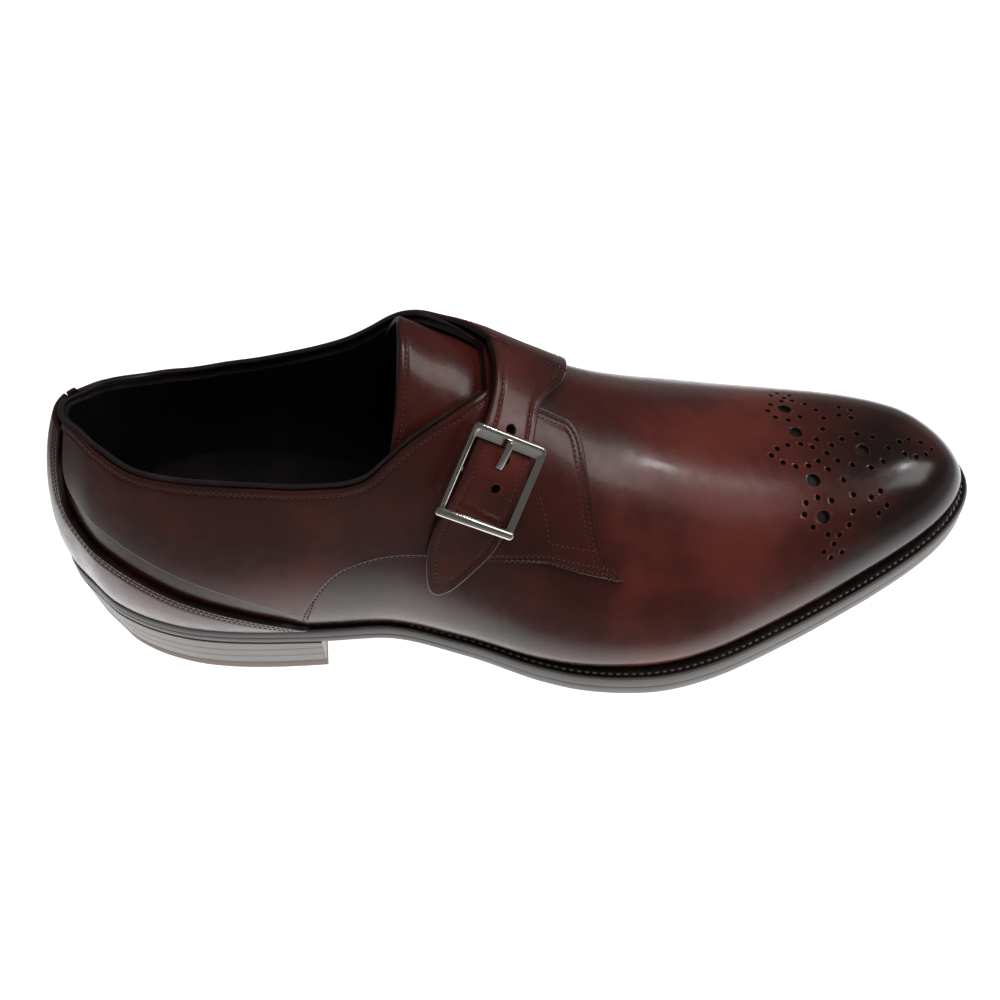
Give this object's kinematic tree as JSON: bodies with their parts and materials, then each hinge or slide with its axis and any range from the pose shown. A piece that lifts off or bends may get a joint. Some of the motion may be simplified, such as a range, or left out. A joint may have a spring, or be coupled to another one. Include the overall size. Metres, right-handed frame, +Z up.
{
  "type": "monk strap shoe",
  "caption": "Low leather dress shoe with a strap over the instep fastened by a rectangular metal buckle, a stacked heel and a leather sole.",
  "frame": {"origin": "on the ground under the middle of the heel, on the heel's resting face", "axes": "+X towards the toe, +Y to the medial (inner) side, +Z up"},
  "size_m": [0.2925, 0.1086, 0.1128],
  "materials": {
    "upper_leather": "polished burgundy leather burnished dark at the edges",
    "edge_leather": "black waxed edge",
    "lining": "matt black lining leather",
    "sole_leather": "grey-brown dressed sole edge",
    "heel_leather": "grey-brown stacked lifts",
    "heel_rubber": "matt brown rubber",
    "buckle_metal": "polished nickel"
  },
  "bodies": {
    "root": {"upper": "upper_leather", "quarter_lateral": "upper_leather", "quarter_medial_strap": "upper_leather", "counter": "upper_leather", "tongue": "upper_leather", "collar_binding": "edge_leather", "insole": "lining", "welt": "edge_leather", "outsole": "sole_leather", "heel_lift_1": "heel_leather", "heel_lift_2": "heel_leather", "heel_lift_3": "heel_leather", "heel_top_piece": "heel_rubber", "buckle_frame": "buckle_metal", "buckle_bar": "buckle_metal", "buckle_prong": "buckle_metal"}
  },
  "joints": []
}
